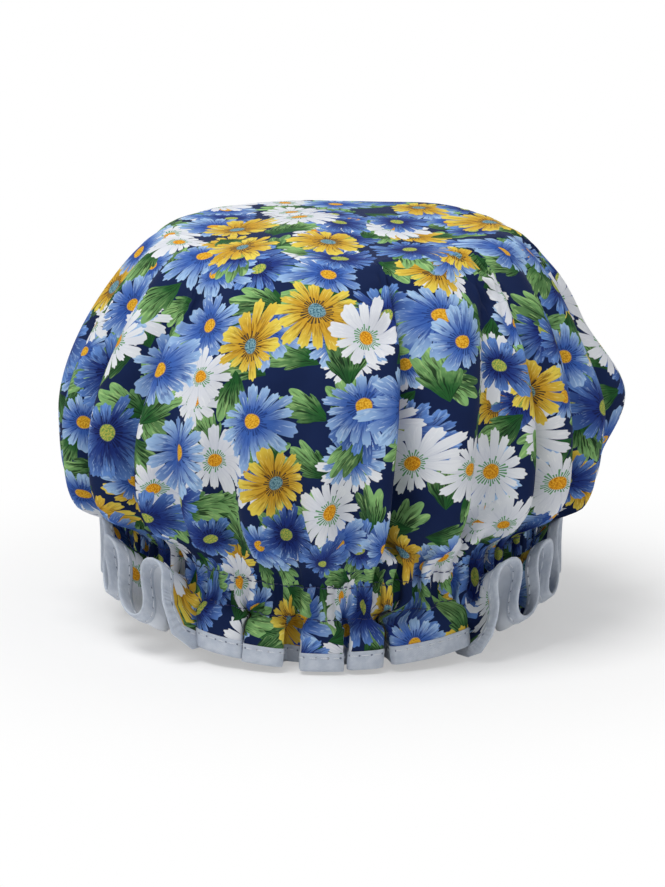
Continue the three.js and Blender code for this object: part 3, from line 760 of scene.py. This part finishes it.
DAISY_CELLS = (0.044, 0.046, 0.048, 0.050, 0.053)
DAISY_RADII = (0.0170, 0.0172, 0.0176, 0.0182, 0.0192)
LEAF_CELLS = (0.024, 0.034)
LEAF_LENGTHS = (0.024, 0.026)
MOTIF_SHIFTS = (0.37, 0.61)  # where the first layer of motifs starts, and how far on the next one does
COTTON_THREADS = 2600.0  # in a metre
cotton, w, surface = new_material(
    "printed_cotton", 0.82, Sheen_Weight=0.02, Sheen_Roughness=0.5, Specular_IOR_Level=0.12)
flat_place = w.flat_place()
print_colour = w.blend(w.noise(flat_place, 55.0), srgb("0c1a3e"), srgb("152853"))
order = [(leaves, 0), (daisies, 0), (daisies, 1), (leaves, 1)]
order += [(daisies, i) for i in range(2, len(DAISY_CELLS))]
for layer, (motif, i) in enumerate(order):
    if motif is daisies:
        sizes = {"Cell": DAISY_CELLS[i], "Radius": DAISY_RADII[i]}
    else:
        sizes = {"Cell": LEAF_CELLS[i], "Length": LEAF_LENGTHS[i]}
    shift = MOTIF_SHIFTS[0] + MOTIF_SHIFTS[1] * layer
    motifs = placed(w, motif, Vector=flat_place, Shift=shift, **sizes)
    print_colour = w.blend(motifs["Mask"], print_colour, motifs["Color"])
w.feed(surface["Base Color"], print_colour)
threads = placed(w, weave, Vector=flat_place, Threads=COTTON_THREADS)["Height"]
creases = w.math("MULTIPLY_ADD", w.noise(flat_place, 130.0, 4.0), 4.0, threads)
w.feed(surface["Normal"], w.bump(0.25, 0.0002, creases))
outer_cloth.data.materials.append(cotton)
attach(outer_cloth, "root")
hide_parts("outer_cloth")

# Lining. A second round of soft waterproof sheet, cut as the first and sewn to it along the seams
# of the channel and under the hem's binding. Between the two seams it passes inside the elastic.
LINING_DEPTH = 0.0003  # below the cotton
LINING_SHARE = 0.3  # and at most this share of the way to the cotton on the far side of a tight pleat
LINING_TUCK = 0.0018  # in the channel it lies this far inside the elastic's outer face
LINING_GIVE = 0.5  # and further where the cotton stands out, by this share
RAY_START = 1e-5
cotton_faces = BVHTree.FromPolygons(cloth.reshape(-1, 3).tolist(), grid_faces(*cloth.shape[:2]).tolist())
depths = np.full(cloth.shape[:2], LINING_DEPTH)
for spot in np.ndindex(depths.shape):
    inward = Vector(-cloth_normals[spot])
    start = Vector(cloth[spot]) + inward * RAY_START
    room = cotton_faces.ray_cast(start, inward, LINING_DEPTH / LINING_SHARE)[3]
    if room is not None:
        depths[spot] = room * LINING_SHARE
lining = cloth - cloth_normals * depths[..., None]
from_ring = lining[..., :2] - np.array(ring_middle)[:2]
radius = np.linalg.norm(from_ring, axis=-1)
in_channel = np.clip((reaches - crown_reach) / (channel_reach - crown_reach), 0, 1)
inside = elastic_radius - LINING_TUCK - LINING_GIVE * np.maximum(radius - waist_radius, 0)
tucked = radius + (inside - radius) * np.sin(math.pi * in_channel)[:, None] ** 0.5
lining[..., :2] += from_ring * (tucked / radius - 1)[..., None]
lining_pole = lining[0].mean(0)
lining_piece = make_mesh("lining_gathered", *capped(lining, flat_cloth, lining_pole, outward=False))

film, w, surface = new_material("waterproof_sheet", 0.42, Specular_IOR_Level=0.5, Sheen_Weight=0.05)
flat_place = w.flat_place()
clouds = w.step(w.noise(flat_place, 24.0, 3.0), 0.3, 0.7)
w.feed(surface["Base Color"], w.blend(clouds, srgb("dde3ec"), srgb("e9edf3")))
w.feed(surface["Roughness"], w.step(w.noise(flat_place, 70.0, 3.0), 0.3, 0.7, 0.36, 0.52))
crinkle = w.math("MULTIPLY_ADD", w.noise(flat_place, 420.0, 3.0), 0.3, w.noise(flat_place, 95.0, 4.0))
w.feed(surface["Normal"], w.bump(0.35, 0.0012, crinkle))
lining_piece.data.materials.append(film)
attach(lining_piece, "root")
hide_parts("lining")

# Elastic. A braided white strip, closed to a loop by lapping its ends at the back of the cap. It
# lies loose in the channel between the two rounds and draws them in.
ELASTIC_THICKNESS = 0.0010
ELASTIC_LAP = 0.014
ELASTIC_CORDS = 6  # side by side in the braid
CORD_SWELL = 0.12  # how far a cord stands out, a share of the thickness
CORD_FACE = 0.38  # half of the strip between two cords, also a share of it
LOOP_STEPS = 320
LAP_RISE = (1.6, 1.05)  # so many laps before its end the strip starts to climb over its start, and is up
LAP_HEIGHT = 1.1  # thicknesses that it climbs
PLAIT_RATES = (2400.0, 3000.0)  # radians in a metre, along and across
band_middle = (band_low.z + band_high.z) / 2
band_half = (band_high.z - band_low.z) / 2
lap_turn = ELASTIC_LAP / elastic_radius


def on_ring(turned, radius, height):
    """A point at a turn from the front to the right, on the ring's own rise and fall."""
    lifted = height + SIDE_RISE * np.sin(turned) ** 2
    flat_ring = np.stack([radius * np.sin(turned), -radius * np.cos(turned), lifted], -1)
    return flat_ring + np.array(ring_middle)


across = np.linspace(-1, 1, 4 * ELASTIC_CORDS + 1)
cord_swell = CORD_SWELL * np.abs(np.sin(ELASTIC_CORDS * math.pi * (across + 1) / 2))
edge_round = np.sqrt(np.clip(1.02 - np.abs(across) ** 8, 0.05, 1))
face = (CORD_FACE + cord_swell) * edge_round * ELASTIC_THICKNESS
section = np.r_[np.c_[across, face], np.c_[across[::-1], -face[::-1]]]
turns = math.pi - lap_turn / 2 + np.linspace(0, math.tau + lap_turn, LOOP_STEPS)
lapped = smooth(turns, turns[-1] - LAP_RISE[0] * lap_turn, turns[-1] - LAP_RISE[1] * lap_turn)
middle = elastic_radius - ELASTIC_THICKNESS / 2 + lapped * ELASTIC_THICKNESS * LAP_HEIGHT
radii = middle[:, None] + section[None, :, 1]
band = on_ring(turns[:, None], radii, band_middle + band_half * section[None, :, 0])
sides = len(section)
strip_faces = grid_faces(len(turns), sides).tolist()
strip_faces += [tuple(range(sides)), tuple(sides * len(turns) - 1 - i for i in range(sides))]
places = np.stack(np.broadcast_arrays(turns[:, None] * elastic_radius, section[None, :, 0] * band_half), -1)
elastic = make_mesh("elastic_loop", band, strip_faces, places)

braid, w, surface = new_material("braided_elastic", 0.75, Sheen_Weight=0.2)
u, v, _ = w.node("ShaderNodeSeparateXYZ", w.flat_place()).outputs
plaits = []
for slant in (PLAIT_RATES[1], -PLAIT_RATES[1]):
    along = w.math("MULTIPLY_ADD", u, PLAIT_RATES[0], w.math("MULTIPLY", v, slant))
    plaits.append(w.math("ABSOLUTE", w.math("SINE", along)))
height = w.math("MAXIMUM", *plaits)
# The braid is painted darker where its plaits lie low: painted shade in its grooves.
w.feed(surface["Base Color"], w.blend(height, srgb("cfcfca"), srgb("f4f4f0")))
w.feed(surface["Normal"], w.bump(0.5, 0.0003, height))
elastic.data.materials.append(braid)
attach(elastic, "root")
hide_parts("elastic_band")

# Seams. Rows of lockstitch: navy needle thread outside and pale bobbin thread inside hold the
# channel's two edges, and a zigzag tack joins the lapped ends of the elastic.
THREAD_RADIUS = 0.00025
STITCH_PITCH = 0.0030
STITCH_LENGTH = 0.0024
BOBBIN_LENGTH = 0.0014  # the thread inside shows in short stitches, pulled into the lining
BOBBIN_DEPTH = 0.0005

stitching = bpy.data.node_groups.new("stitching", "GeometryNodeTree")
for title, kind in (("Geometry", "Geometry"), ("Pitch", "Float"), ("Length", "Float"), ("Radius", "Float"),
                    ("Thread", "Material")):
    stitching.interface.new_socket(title, in_out="INPUT", socket_type="NodeSocket" + kind)
stitching.interface.new_socket("Geometry", in_out="OUTPUT", socket_type="NodeSocketGeometry")
w = Wiring(stitching)
given = w.node("NodeGroupInput").outputs
path = w.node("GeometryNodeMeshToCurve", given["Geometry"]).outputs[0]
spaced = w.node("GeometryNodeResampleCurve", mode="LENGTH")
w.feed(spaced.inputs["Curve"], path)
w.feed(spaced.inputs["Length"], given["Pitch"])
bead = w.node("GeometryNodeMeshUVSphere", 6, 5, 1.0).outputs["Mesh"]
half_length = w.math("MULTIPLY", given["Length"], 0.5)
slim = w.node("ShaderNodeCombineXYZ", given["Radius"], given["Radius"], half_length).outputs[0]
stitch = w.node("GeometryNodeTransform")
w.feed(stitch.inputs["Geometry"], bead)
w.feed(stitch.inputs["Scale"], slim)
heading = w.node("FunctionNodeAlignRotationToVector", axis="Z")
w.feed(heading.inputs["Vector"], w.node("GeometryNodeInputTangent").outputs[0])
row = w.node("GeometryNodeInstanceOnPoints")
w.feed(row.inputs["Points"], spaced.outputs[0])
w.feed(row.inputs["Instance"], stitch.outputs[0])
w.feed(row.inputs["Rotation"], heading.outputs[0])
sewn = w.node("GeometryNodeRealizeInstances", row.outputs[0]).outputs[0]
dyed = w.node("GeometryNodeSetMaterial")
w.feed(dyed.inputs["Geometry"], sewn)
w.feed(dyed.inputs["Material"], given["Thread"])
w.node("NodeGroupOutput", dyed.outputs[0])


def sew(name, points, thread, pitch, length, closed=True):
    """A row of stitches along a line of points, as a plain mesh."""
    count = len(points)
    mesh = bpy.data.meshes.new(name + "_line")
    edges = [(i, (i + 1) % count) for i in range(count if closed else count - 1)]
    mesh.from_pydata(points.tolist(), edges, [])
    guide = bpy.data.objects.new(name + "_line", mesh)
    bpy.context.scene.collection.objects.link(guide)
    tool = guide.modifiers.new("stitching", "NODES")
    tool.node_group = stitching
    values = {"Pitch": pitch, "Length": length, "Radius": THREAD_RADIUS, "Thread": thread}
    for socket in stitching.interface.items_tree:
        if socket.in_out == "INPUT" and socket.name in values:
            tool[socket.identifier] = values[socket.name]
    done = guide.evaluated_get(bpy.context.evaluated_depsgraph_get())
    sewn_mesh = bpy.data.meshes.new_from_object(done)
    sewn_mesh.name = name
    sewn_mesh.shade_smooth()
    bpy.data.objects.remove(guide)
    piece = bpy.data.objects.new(name, sewn_mesh)
    bpy.context.scene.collection.objects.link(piece)
    return piece


def spun_thread(name, dark, light):
    """Twisted sewing thread: fine slanting plies, painted lighter on their crowns and darker between them as
    painted highlight and shade.
    """
    material, w, surface = new_material(name, 0.7, Sheen_Weight=0.15)
    place = w.node("ShaderNodeTexCoord").outputs["Object"]
    plies = w.node("ShaderNodeTexWave", bands_direction="DIAGONAL")
    w.feed(plies.inputs["Vector"], place)
    plies.inputs["Scale"].default_value = 900
    plies.inputs["Distortion"].default_value = 2
    w.feed(surface["Base Color"], w.blend(plies.outputs["Fac"], srgb(dark), srgb(light)))
    w.feed(surface["Normal"], w.bump(0.5, 0.0001, plies.outputs["Fac"]))
    return material


navy_thread = spun_thread("navy_thread", "1d2350", "333c78")
pale_thread = spun_thread("pale_thread", "cdd3de", "eef1f6")
lining_normals = outward_normals(lining)
for seam, number in (("upper", upper_row), ("lower", lower_row)):
    outside = cloth[number] + cloth_normals[number] * THREAD_RADIUS
    inside = lining[number] - lining_normals[number] * BOBBIN_DEPTH
    for side, line_of, thread, slot, length in (
        ("needle", outside, navy_thread, "navy_thread", STITCH_LENGTH),
        ("bobbin", inside, pale_thread, "pale_thread", BOBBIN_LENGTH),
    ):
        node = f"{seam}_{side}_thread"
        piece = sew(node + "_stitches", line_of, thread, STITCH_PITCH, length)
        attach(piece, "root")
        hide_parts(node)

TACK_POINTS = 13
TACK_REACH = 0.35  # share of the lap to each side of its middle
TACK_RISE = 0.7  # share of the elastic's half-width
TACK_STAND = 1.2  # thicknesses of elastic under it
LEG_STEPS = 8
tack_turns = math.pi + lap_turn * TACK_REACH * np.linspace(-1, 1, TACK_POINTS)
tack_heights = band_middle + band_half * TACK_RISE * (2 * (np.arange(TACK_POINTS) % 2) - 1)
tack_radius = elastic_radius + ELASTIC_THICKNESS * TACK_STAND + THREAD_RADIUS
corners = on_ring(tack_turns, tack_radius, tack_heights)
leg = np.linalg.norm(corners[1] - corners[0])
legs = [np.linspace(a, b, LEG_STEPS, endpoint=False) for a, b in zip(corners[:-1], corners[1:])]
zigzag = np.concatenate(legs + [corners[-1:]])
tack = sew("elastic_tack_zigzag", zigzag, pale_thread, leg / 6, leg / 4, closed=False)
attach(tack, "root")
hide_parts("elastic_tack")

# Edge binding. Pale woven tape folded over the raw edges of both rounds and stitched through, so
# that it shows as a band along the hem on both faces of the ruffle.
TAPE_STITCH_HEIGHT = 0.0062  # the seam above the hem
TAPE_STITCH_PITCH = 0.0049
TAPE_STITCH_LENGTH = 0.0036
TAPE_FACES = {"needle": 0.00036, "bobbin": -0.00084}  # where its two faces lie, out from the cotton
STITCH_STAND = 0.4  # a thread's middle stands out from the tape by this share of its radius
TAPE_THREADS = 1600.0  # in a metre
# The tape's section, up from the hem and out from the cotton, mm: outside, inside and next to the cloth
TAPE_OUTER = ((8.2, 0.36), (7.9, 0.46), (6.2, 0.36), (4.2, 0.46), (1.6, 0.46), (0.1, 0.36), (-0.4, 0.08))
TAPE_INNER = ((-0.4, -0.50), (0.1, -0.84), (1.6, -0.94), (4.2, -0.94), (6.2, -0.84), (7.9, -0.94),
              (8.2, -0.84))
TAPE_UNDER = ((8.2, -0.64), (4.2, -0.66), (0.4, -0.62), (0.1, -0.25), (0.4, 0.14), (4.2, 0.18), (8.2, 0.16))


def hem_line(up, out):
    """Points along the hem, up from its edge and out from the cotton."""
    row = (RUFFLE_FALL - max(up, 0)) / RUFFLE_FALL * RUFFLE_ROWS + lower_row
    first = min(int(row), len(cloth) - 2)
    share = row - first
    points = cloth[first] + (cloth[first + 1] - cloth[first]) * share
    normals = cloth_normals[first] + (cloth_normals[first + 1] - cloth_normals[first]) * share
    fall = cloth[-1] - cloth[-2]
    fall = fall / np.linalg.norm(fall, axis=-1, keepdims=True)
    return points + fall * max(-up, 0) + normals * out


tape_section = [(up * 0.001, out * 0.001) for up, out in TAPE_OUTER + TAPE_INNER + TAPE_UNDER]
tape = np.stack([hem_line(up, out) for up, out in tape_section])
tape_faces = grid_faces(len(tape), columns, closed=True).tolist()
round_hem = np.arange(columns) / columns * math.tau * cut_radius
heights = np.array([up for up, _ in tape_section])
tape_flat = np.stack(np.broadcast_arrays(round_hem[None, :], heights[:, None]), -1)
binding = make_mesh("edge_binding_tape", tape, tape_faces, tape_flat)

woven_tape, w, surface = new_material("woven_tape", 0.85, Sheen_Weight=0.15, Specular_IOR_Level=0.25)
place = w.flat_place()
u, v, _ = w.node("ShaderNodeSeparateXYZ", place).outputs
twill = w.node("ShaderNodeVectorRotate", place, (0, 0, 0), (0, 0, 1), math.radians(45),
               rotation_type="Z_AXIS")
threads = placed(w, weave, Vector=twill.outputs[0], Threads=TAPE_THREADS)["Height"]
in_stitch = w.math("FRACT", w.math("DIVIDE", u, TAPE_STITCH_PITCH))
hole_along = w.math("MULTIPLY", w.math("SUBTRACT", in_stitch, 0.5), TAPE_STITCH_PITCH)
hole_up = w.math("SUBTRACT", v, TAPE_STITCH_HEIGHT)
hole = w.math("SUBTRACT", 1.0, w.step(w.distance(hole_along, hole_up), 0.00025, 0.0006))
tone = w.blend(w.step(w.noise(place, 260.0, 4.0), 0.3, 0.7), srgb("c2cbd9"), srgb("d6dde8"))
# Painted shade between the tape's threads: darker where the weave lies low.
tone = w.blend(w.step(threads, 0.2, 1.2, 0.3, 0.0), tone, srgb("aab5c8"))
# Painted shade in the needle holes: a dark spot round each puncture.
tone = w.blend(w.math("MULTIPLY", hole, 0.85), tone, srgb("56617c"))
w.feed(surface["Base Color"], tone)
relief = w.math("MULTIPLY_ADD", hole, -3.0, threads)
w.feed(surface["Normal"], w.bump(0.5, 0.0003, relief))
binding.data.materials.append(woven_tape)
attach(binding, "root")
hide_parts("edge_binding")

for side, out in TAPE_FACES.items():
    node = f"binding_{side}_thread"
    stand = THREAD_RADIUS * STITCH_STAND * (1 if out > 0 else -1)
    piece = sew(node + "_stitches", hem_line(TAPE_STITCH_HEIGHT, out + stand), pale_thread,
                TAPE_STITCH_PITCH, TAPE_STITCH_LENGTH)
    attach(piece, "root")
    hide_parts(node)

# Stage. A pale floor under soft light from the left and above, seen from a little above the front.
PHOTO_WIDTH, PHOTO_HEIGHT = 665, 887
RING_PIXEL = (331, 550)  # middle of the gathered ring in the photograph
PIXELS_PER_METRE = 2345
VIEW_ELEVATION = 14.0
VIEW_DISTANCE = 2.4
camera_data = bpy.data.cameras.new("camera")
camera = bpy.data.objects.new("camera", camera_data)
bpy.context.scene.collection.objects.link(camera)
bpy.context.scene.camera = camera
tilt = math.radians(VIEW_ELEVATION)
towards = Vector((0, math.cos(tilt), -math.sin(tilt)))
picture_up = Vector((0, math.sin(tilt), math.cos(tilt)))
ring = ring_middle + Vector((0, 0, (upper_seam + lower_seam) / 2))
aim = ring + Vector((PHOTO_WIDTH / 2 - RING_PIXEL[0], 0, 0)) / PIXELS_PER_METRE
aim += picture_up * (RING_PIXEL[1] - PHOTO_HEIGHT / 2) / PIXELS_PER_METRE
camera.location = aim - towards * VIEW_DISTANCE
camera.rotation_mode = "QUATERNION"
camera.rotation_quaternion = towards.to_track_quat("-Z", "Y")
camera_data.sensor_width = 36
camera_data.lens = camera_data.sensor_width * VIEW_DISTANCE * PIXELS_PER_METRE / PHOTO_HEIGHT

FLOOR_SIZE = 30.0
FLOOR_SHADOW = (0.09, 0.26)  # from the middle: the shadow starts to fade, and none of it is left
FLOOR_WHITE = 0.4  # least share of plain white over the shadow, because the photograph's floor is white
floor_mesh = bpy.data.meshes.new("floor")
half = FLOOR_SIZE / 2
floor_corners = [(-half, -half, 0), (half, -half, 0), (half, half, 0), (-half, half, 0)]
floor_mesh.from_pydata(floor_corners, [], [(0, 1, 2, 3)])
floor = bpy.data.objects.new("floor", floor_mesh)
bpy.context.scene.collection.objects.link(floor)
pale, w, surface = new_material("pale_floor", 0.9, Specular_IOR_Level=0.1)
surface["Base Color"].default_value = (0.93, 0.93, 0.93, 1)
place = w.node("ShaderNodeTexCoord").outputs["Object"]
away = w.node("ShaderNodeVectorMath", place, operation="LENGTH").outputs["Value"]
white = w.node("ShaderNodeEmission", (1, 1, 1, 1), 1.0)
far = w.math("MULTIPLY", w.step(away, *FLOOR_SHADOW, FLOOR_WHITE), w.sight_ray())
principled = w.tree.nodes["Principled BSDF"].outputs[0]
end = w.tree.nodes["Material Output"]
w.feed(end.inputs[0], w.node("ShaderNodeMixShader", far, principled, white.outputs[0]).outputs[0])
floor_mesh.materials.append(pale)

SOFT_LIGHT = 0.30
# Place, size and power of each lamp
LAMPS = {"key": ((-0.45, -0.40, 1.75), 0.9, 24.0), "fill": ((1.2, -1.4, 0.7), 1.2, 2.5)}
LIT_PLACE = Vector((0, 0, 0.08))
world = bpy.data.worlds.new("studio")
bpy.context.scene.world = world
world.use_nodes = True
world.node_tree.nodes.clear()
w = Wiring(world.node_tree)
soft_light = w.node("ShaderNodeBackground", (1, 1, 1, 1), SOFT_LIGHT)
backdrop = w.node("ShaderNodeBackground", (1, 1, 1, 1), 1.0)
w.node("ShaderNodeOutputWorld",
       w.node("ShaderNodeMixShader", w.sight_ray(), soft_light.outputs[0], backdrop.outputs[0]).outputs[0])

for name, (place, size, watts) in LAMPS.items():
    lamp_data = bpy.data.lights.new(name, "AREA")
    lamp_data.energy = watts
    lamp_data.size = size
    lamp = bpy.data.objects.new(name, lamp_data)
    lamp.location = place
    lamp.rotation_mode = "QUATERNION"
    lamp.rotation_quaternion = (LIT_PLACE - lamp.location).to_track_quat("-Z", "Y")
    bpy.context.scene.collection.objects.link(lamp)
bpy.context.scene.view_settings.view_transform = "Standard"
